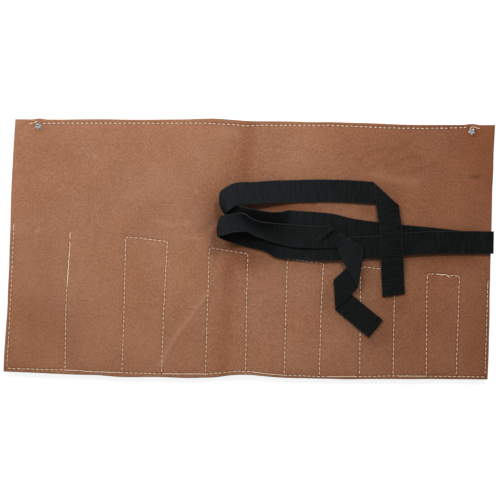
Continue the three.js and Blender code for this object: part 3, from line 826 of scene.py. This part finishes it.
def stitch_mesh(a, b, radius, height=outer_height, drop=0.0, face_up=1, rings=9, sides=10):
    """Points and faces of short twisted lengths of thread whose ends dive into the leather."""
    t = np.linspace(0, 1, rings)
    centre = a[:, None, :] * (1 - t)[None, :, None] + b[:, None, :] * t[None, :, None]
    arch = np.sin(np.pi * t) ** 0.55
    z = height(centre[..., 0], centre[..., 1]) - drop + face_up * radius * (0.95 * arch - 0.62)
    along = b - a
    along /= np.linalg.norm(along, axis=1, keepdims=True)
    side = np.stack([-along[:, 1], along[:, 0]], -1)
    angle = np.linspace(0, 2 * np.pi, sides, endpoint=False)
    twist = 1 + 0.1 * np.cos(2 * angle[None, :] - 5 * np.pi * t[:, None])
    girth = radius * (0.62 + 0.38 * arch)[:, None] * twist
    out = girth * np.cos(angle)
    up = girth * np.sin(angle) * 0.85
    plan = centre[:, :, None, :] + side[:, None, None, :] * out[None, ..., None]
    points = np.concatenate([plan, (z[:, :, None] + up)[..., None]], -1)
    first = np.arange(sides)
    after = (first + 1) % sides
    band = np.stack([first, after, after + sides, first + sides], -1)
    quads = np.concatenate([band + r * sides for r in range(rings - 1)])
    faces = []
    for start in range(0, len(a) * rings * sides, rings * sides):
        faces.extend((quads + start).tolist())
        faces.append((first[::-1] + start).tolist())
        faces.append((first + start + (rings - 1) * sides).tolist())
    return points.reshape(-1, 3), faces


def seam_piece(name, seed):
    """All stitches of one seam, on the outer face and below the sewn sheets."""
    rng = np.random.default_rng(seed)
    path = SEAMS[name]
    at_top = name == "top"
    radius = TOP_THREAD_RADIUS if at_top else THREAD_RADIUS
    below = BASE_THICK + (FLAP_THICK if at_top else POCKET_THICK) + SEWN_GAP
    share = (TOP_STITCH_LENGTH if at_top else STITCH_LENGTH) / STITCH_PITCH
    rows = [stitch_ends(path, rng, share=share)]
    total = run_of(path)[-1]
    pitch = total / int(total / STITCH_PITCH)
    for start, stop in BACKTACKS.get(name, []):
        first = (round(start / pitch) + 0.5) * pitch
        last = max(first + pitch, (round(stop / pitch) - 0.5) * pitch)
        a, b = stitch_ends(path, rng, first, last + 0.01)
        shift = rng.uniform(-0.55, 0.55, (1, 2))
        rows.append((a + shift, b + shift))
    rows += [(np.array([p]), np.array([q])) for p, q in LOOSE_STITCHES.get(name, [])]
    a, b = (np.concatenate(ends) for ends in zip(*rows))
    upper, faces = stitch_mesh(a, b, radius)
    lower, _ = stitch_mesh(a, b, radius, drop=below, face_up=-1)
    faces = faces + [[i + len(upper) for i in face] for face in faces]
    piece = make_piece("stitches_" + name, np.concatenate([upper, lower]), faces, [CREAM])
    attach(piece, "roll")
    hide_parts("thread_" + name)


# Rivets

def rivet(name, tips, turn, seed):
    """Tubular rivet whose clenched end has split into a star."""
    rng = np.random.default_rng(seed)
    px, py = RIVETS[name]
    steps = LOBE_STEPS * tips
    angle = np.linspace(0, 2 * np.pi, steps, endpoint=False)
    lobe = np.abs(((angle * tips / (2 * np.pi)) % 1) - 0.5) * 2
    half = LOBE_STEPS // 2
    reach = np.repeat(rng.uniform(0.88, 1.08, tips), LOBE_STEPS)
    reach = np.concatenate([reach[-half:], reach, reach[:half]])
    reach = np.convolve(reach, np.ones(2 * half + 1) / (2 * half + 1), "valid")
    star = STAR_ROOT + (STAR_TIP * reach - STAR_ROOT) * lobe ** 0.95
    seat = float(outer_height(np.array(px), np.array(py)))
    rings = [(radius, share, seat + z) for radius, share, z in RIVET_CLENCH]
    rings += [(radius, share, RIVET_HEAD_Z + z) for radius, share, z in RIVET_HEAD]
    points = []
    for radius, share, z in rings:
        r = radius + share * (star - radius)
        groove = 2 * share * (1 - share) * (1 - lobe) ** 2
        x, y = px + r * np.cos(angle + turn), py + r * np.sin(angle + turn)
        points.append(np.stack([x, y, z - groove], -1))
    i = np.arange(steps)
    j = (i + 1) % steps
    faces = [np.stack([i, i + steps, j + steps, j], -1) + r * steps for r in range(len(rings) - 1)]
    piece = make_piece(name + "_star", np.concatenate(points), np.concatenate(faces).tolist(), [STEEL])
    merge_close(piece)
    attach(piece, "roll")
    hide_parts(name)


# Tie

def backwards(route):
    """The same route from its other end, with its troughs and fold heights the other way round."""
    turned = []
    for kind, x, y, *rest in reversed(route):
        if kind == "fold":
            rest = rest[::-1]
        elif kind == "turn":
            rest = [*rest[:-1], -rest[-1]]
        turned.append((kind, x, y, *rest))
    return turned


def split_legs(route):
    """Stations of each leg of a strap between its flat folds, and the folds."""
    legs = [[]]
    folds = []
    for kind, x, y, z, *rest in route:
        if kind == "fold":
            folds.append(SimpleNamespace(at=np.array([x, y]), before=z, after=rest[0]))
            legs[-1].append(("end", x, y, z))
            legs.append([("end", x, y, rest[0])])
        else:
            legs[-1].append((kind, x, y, z, *rest))
    return legs, folds


def set_crease(fold, before, after):
    """Lays out the crease of a fold and moves the ends of its two legs apart along it."""
    into = unit(fold.at - np.array(before[-2][1:3]))
    out = unit(np.array(after[1][1:3]) - fold.at)
    turned = into + out
    fold.crease = unit(turned) if np.linalg.norm(turned) > 0.05 else left_of(into)
    normal = left_of(fold.crease)
    fold.normal = normal if normal @ into > 0 else -normal
    fold.radius = abs(fold.after - fold.before) / 2
    fold.extra = math.pi * fold.radius / 2 / (into @ fold.normal)
    slip = fold.extra * (into @ fold.crease) * fold.crease
    before[-1] = ("end", *(fold.at - slip), fold.before)
    after[0] = ("end", *(fold.at + slip), fold.after)


def catmull(points):
    """Even points on a smooth curve through rows of x, y, z and any further columns."""
    rows = np.concatenate([[2 * points[0] - points[1]], points, [2 * points[-1] - points[-2]]])
    t = np.linspace(0, 1, 60, endpoint=False)[:, None]
    dense = []
    for a, b, c, d in zip(rows[:-3], rows[1:-2], rows[2:-1], rows[3:]):
        ab, bc, cd = (max(np.linalg.norm((q - p)[:3]), 1e-6) ** 0.5 for p, q in ((a, b), (b, c), (c, d)))
        m1 = bc * ((b - a) / ab - (c - a) / (ab + bc) + (c - b) / bc)
        m2 = bc * ((c - b) / bc - (d - b) / (bc + cd) + (d - c) / cd)
        dense.append(b + t * (m1 + t * (3 * (c - b) - 2 * m1 - m2 + t * (m1 + m2 - 2 * (c - b)))))
    dense = np.concatenate([*dense, points[-1:]])
    run = run_of(dense[:, :3])
    even = np.linspace(0, run[-1], max(2, int(run[-1] / CURVE_STEP) + 1))
    return even, read_at(even, run, dense)


def leg_curve(stations, side):
    """Arc lengths and rows (centre, width direction, tilt, trough) of a leg, whose width starts at side."""
    plan = np.array([station[1:3] for station in stations], float)
    last = len(stations) - 1
    rows = []
    for i, (kind, x, y, z, *rest) in enumerate(stations):
        into = plan[i] - plan[max(i - 1, 0)]
        out = plan[min(i + 1, last)] - plan[i]
        if kind == "turn":
            direction, tilt, trough = rest
            across = np.array([math.cos(math.radians(direction)), math.sin(math.radians(direction))])
        else:
            tilt, trough = 0, 0
            across = left_of(unit(sum(unit(step) for step in (into, out) if step.any())))
        if across @ side < 0:
            across, tilt, trough = -across, -tilt, -trough
        side = across
        rows.append([x, y, z, *across, tilt, trough])
        # A leg runs straight for a while next to a fold.
        if np.linalg.norm(out) <= 1.5 * STRAIGHT:
            continue
        if i == 0 and kind == "end":
            rows.append([*(plan[0] + unit(out) * STRAIGHT), z, *across, 0, 0])
        if i + 1 == last and stations[last][0] == "end":
            turned = left_of(unit(out))
            turned = turned if turned @ side > 0 else -turned
            rows.append([*(plan[last] - unit(out) * STRAIGHT), stations[last][3], *turned, 0, 0])
    return catmull(np.array(rows, float))


def leg_surface(run, rows, local, w):
    """Points of a leg's middle surface at places along and across it."""
    inside = np.clip(local, 0, run[-1])
    centre = read_at(inside, run, rows[:, :3])
    heading = read_at(inside, run, np.gradient(rows[:, :3], axis=0))
    across = read_at(inside, run, rows[:, 3:5])
    across /= np.linalg.norm(across, axis=-1, keepdims=True)
    tilt, trough = np.moveaxis(np.radians(read_at(inside, run, rows[:, 5:])), -1, 0)
    width = np.concatenate([across * np.cos(tilt)[..., None], np.sin(tilt)[..., None]], -1)
    face = np.cross(heading, width)
    face /= np.linalg.norm(face, axis=-1, keepdims=True)
    # Across its width the strap is an arc as deep as its trough.
    turned = trough * w / TIE_WIDTH
    chord = w * np.sinc(turned / np.pi)
    centre += (chord * np.cos(turned))[..., None] * width + (chord * np.sin(turned))[..., None] * face
    # Past its ends it runs straight on.
    first = unit(rows[HEADING_ROWS, :2] - rows[0, :2])
    last = unit(rows[-1, :2] - rows[-1 - HEADING_ROWS, :2])
    centre[..., :2] += np.maximum(local - run[-1], 0)[..., None] * last
    centre[..., :2] += np.minimum(local, 0)[..., None] * first
    return centre


def from_fold(fold, axis, s, w):
    """Distance from the middle of a fold in the direction of an axis, measured on the flat strap."""
    return (s - fold.place) * (fold.into @ axis) + w * (fold.across @ axis)


def fold_surface(fold, s, w):
    """Points of the half-round bend of a fold, and where on the strap they belong."""
    radius = max(fold.radius, 1e-6)
    past = from_fold(fold, fold.normal, s, w)
    theta = past / radius
    plan = fold.at + from_fold(fold, fold.crease, s, w)[..., None] * fold.crease
    plan = plan + (radius * np.cos(theta))[..., None] * fold.normal
    z = (fold.before + fold.after) / 2 + (fold.after - fold.before) / 2 * np.sin(theta)
    use = (np.abs(past) < math.pi * radius / 2) & (np.abs(s - fold.place) < FOLD_REACH)
    return np.concatenate([plan, z[..., None]], -1), use


def strap_surface(route, columns):
    """Middle surface of a strap as a grid, and the place along it of each row."""
    legs, folds = split_legs(route)
    for fold, before, after in zip(folds, legs[:-1], legs[1:]):
        set_crease(fold, before, after)
    side = np.array([0.0, 1.0])
    curves = []
    total = 0.0
    for i, leg in enumerate(legs):
        run, rows = leg_curve(leg, side)
        curves.append((run, rows, total))
        total += run[-1]
        if i < len(folds):
            fold = folds[i]
            fold.into = unit(rows[-1, :2] - rows[-1 - HEADING_ROWS, :2])
            fold.across = unit(rows[-1, 3:5])
            fold.place = total + fold.extra
            total += 2 * fold.extra
            side = 2 * (fold.across @ fold.crease) * fold.crease - fold.across
    places = np.linspace(0, total, int(total / STRAP_STEP))
    s, w = np.meshgrid(places, columns, indexing="ij")
    surface = np.zeros((*s.shape, 3))
    past = [from_fold(fold, fold.normal, s, w) for fold in folds]
    for i, (run, rows, start) in enumerate(curves):
        use = np.ones(s.shape, bool)
        if i > 0:
            use &= past[i - 1] >= 0
        if i < len(folds):
            use &= past[i] < 0
        surface[use] = leg_surface(run, rows, s - start, w)[use]
    for fold in folds:
        bent, use = fold_surface(fold, s, w)
        surface[use] = bent[use]
    return surface, places


def pleat(middle):
    """Lifts a small pleat in the short tail and a soft crease in the long tail's upper run."""
    x, y, z = middle[..., 0], middle[..., 1], middle[..., 2]
    (ax, ay), (bx, by) = PLEAT_LINE
    ux, uy = unit((bx - ax, by - ay))
    along = (x - ax) * ux + (y - ay) * uy
    off = (x - ax) * -uy + (y - ay) * ux
    returning = (z > layer(3) - 0.4) & (z < layer(3) + 2)
    near = bell(along - 5, 13) * returning
    z += near * (3.4 * bell(off - 2.6, 2.4) - 0.6 * bell(off + 1.4, 2.0))
    upper = (y > 36) & (x < -110)
    z += upper * (0.9 * bell(x + 171, 7) - 0.9 * bell(x + 165, 2.2))


def trim_ends(middle, places, across):
    """The long tail is cut aslant, and both cut ends are a little ragged."""
    right = np.sign(middle[0, -1, 0] - middle[0, 0, 0])
    middle[..., 1] += 1.3 * right * np.clip(1 - places / 8, 0, 1)[:, None] * across[None, :]
    for end, inner, seed in ((0, 2, 41), (-1, -3, 42)):
        heading = middle[end] - middle[inner]
        heading /= np.linalg.norm(heading, axis=-1, keepdims=True)
        middle[end] += heading * (0.3 + 0.3 * drift(100 * across, 0 * across, 22, seed))[:, None]


def weave_chart(piece, columns, places, rim):
    """Chart of the webbing in millimetres across and along it, for the weave."""
    chart = np.stack(np.meshgrid(columns, places), -1).reshape(-1, 2)
    chart = np.concatenate([chart, chart, chart[rim]])
    corners = np.zeros(len(piece.data.loops), np.int32)
    piece.data.loops.foreach_get("vertex_index", corners)
    layer_uv = piece.data.uv_layers.new(name="weave")
    layer_uv.uv.foreach_set("vector", chart[corners].astype(np.float32).ravel())


def tie():
    """The whole length of webbing, with its sewn fold and both tails, and its length."""
    half = TIE_WIDTH / 2
    selvedge = np.array([0.905, 0.945, 0.985, 1])
    columns = half * np.concatenate([-selvedge[::-1], np.linspace(-0.86, 0.86, 26), selvedge])
    tip = ("fold", TIE_SEWN + TIE_PROUD - TIP_SETBACK, 0, sewn(1), sewn(2))
    middle, places = strap_surface(backwards(LONG_TAIL) + [tip] + SHORT_TAIL, columns)
    pleat(middle)
    trim_ends(middle, places, columns / half)
    # Paler where it lies on top of the other layers, partly from scuffing and partly a painted highlight,
    # and darker inside the loops by painted shade.
    wear_and_painted_highlight = 0.34 * ease((middle[..., 2] - layer(3) - 0.5) / 0.5) * (middle[..., 0] > -142)
    run = np.abs(places - places[np.argmax(middle[:, len(columns) // 2, 0])])
    painted_loop_shade = np.repeat(ease((run - 222) / 28) * ease((308 - run) / 34), len(columns))
    middle = middle + TIE_ORIGIN
    normal = np.cross(np.gradient(middle, axis=0), np.gradient(middle, axis=1))
    normal /= np.maximum(np.linalg.norm(normal, axis=-1, keepdims=True), 1e-9)
    ribbed = np.abs(columns) < 0.9 * half
    rib = RIB_HEIGHT * np.cos(2 * np.pi * places / RIB_PITCH)[:, None] * ribbed[None, :]
    thick = np.interp(np.abs(columns) / half, [0, 0.88, 0.94, 0.985, 1], [0.55, 0.55, 0.62, 0.5, 0.3])
    lift = normal * (thick[None, :] + rib)[..., None]
    points, faces, _ = closed_sheet(middle - lift, middle + lift)
    piece = make_piece("tie_webbing", points, faces, [WEBBING])
    rim = rim_of(len(places), len(columns))
    for name, values in (("wear_and_painted_highlight", wear_and_painted_highlight.ravel()), ("painted_loop_shade", painted_loop_shade)):
        attribute(piece, name, np.concatenate([values, values, values[rim]]))
    weave_chart(piece, columns, places, rim)
    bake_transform(piece)
    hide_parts("tie_sewn_fold", "tie_tail_long", "tie_tail_short")
    return piece, places[-1]


def tie_box():
    """Black box of stitches that holds the tie."""
    x0, x1, high = BOX_MARGIN, TIE_SEWN - BOX_MARGIN, TIE_WIDTH / 2 - BOX_MARGIN
    corners = [(x0, -high), (x1, -high), (x1, high), (x0, high), (x0, -high), (x1, high)]
    path = [(TIE_ORIGIN[0] + x, TIE_ORIGIN[1] + y) for x, y in corners]
    a, b = stitch_ends(path, np.random.default_rng(77))
    top = TIE_ORIGIN[2] + sewn(2) + TIE_THICK / 2 - 0.1

    points, faces = stitch_mesh(a, b, BOX_THREAD_RADIUS, lambda x, _: np.full(np.shape(x), top))
    piece = make_piece("stitches_tie_box", points, faces, [BLACK])
    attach(piece, "roll")
    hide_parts("thread_tie_box")


base = base_panel()
pockets = pocket_panel()
flap_piece = flap()
for number, seam_name in enumerate(SEAMS):
    seam_piece(seam_name, 100 + number)
rivet("rivet_left", tips=6, turn=0.35, seed=5)
rivet("rivet_right", tips=5, turn=0.9, seed=6)
strap, strap_length = tie()
tie_box()


# Stage

def background_rays(m):
    """Socket that is 1 for rays that see the background straight, mirrored or through glass."""
    rays = m.add("LightPath").outputs
    seen = m.math("MAXIMUM", rays["Is Camera Ray"], rays["Is Glossy Ray"])
    return m.math("MAXIMUM", seen, rays["Is Transmission Ray"])


def floor():
    """Plain pale floor that looks white and keeps the object's shadow."""
    m = Nodes(bpy.data.materials.new("stage_white"))
    far = m.add("VectorMath", operation="LENGTH", Vector=m.place()).outputs["Value"]
    glow = m.math("MULTIPLY", background_rays(m), m.ramp(far, 0.5, 2.5, GLOW_NEAR, GLOW_FAR))
    m.surface(Emission_Color=(1, 1, 1), Emission_Strength=glow)
    m.surface(Base_Color=(0.45, 0.45, 0.45), Roughness=1.0, Specular_IOR_Level=0.0)
    square = ((-1, -1), (1, -1), (1, 1), (-1, 1))
    corners = [(x * FLOOR_HALF, y * FLOOR_HALF, -FLOOR_DROP) for x, y in square]
    mesh = bpy.data.meshes.new("floor")
    mesh.from_pydata(corners, [], [(0, 1, 2, 3)])
    mesh.materials.append(m.owner)
    add_object("floor", mesh)


def world():
    """White surroundings that light the object softly."""
    m = Nodes(bpy.data.worlds.new("studio"), "Background")
    m.surface(Color=(1, 1, 1), Strength=m.ramp(background_rays(m), 0, 1, WORLD_LIGHT, 1.0))
    bpy.context.scene.world = m.owner


def lamp(name, place, aim, size, power):
    """Round soft lamp."""
    data = bpy.data.lights.new(name, "AREA")
    data.shape = "DISK"
    data.size = size
    data.energy = power
    item = add_object(name, data)
    item.location = place
    item.rotation_euler = (Vector(aim) - Vector(place)).to_track_quat("-Z", "Y").to_euler()


def camera():
    """Camera straight above the sheet."""
    data = bpy.data.cameras.new("camera")
    data.sensor_width = SENSOR
    data.lens = SENSOR * VIEW_HEIGHT / VIEW_WIDTH
    item = add_object("camera", data)
    item.location = (*CAMERA_SHIFT, VIEW_HEIGHT + BASE_TOP * MM)
    item.rotation_euler = (0, 0, math.radians(CAMERA_TURN))
    bpy.context.scene.camera = item


floor()
world()
lamp("key", place=(0.7, 1.5, 1.6), aim=(0, 0, 0), size=0.6, power=24)
lamp("fill", place=(-0.9, 1.0, 1.0), aim=(-0.15, 0, 0), size=0.9, power=17)
camera()
bpy.context.scene.view_settings.view_transform = "Standard"
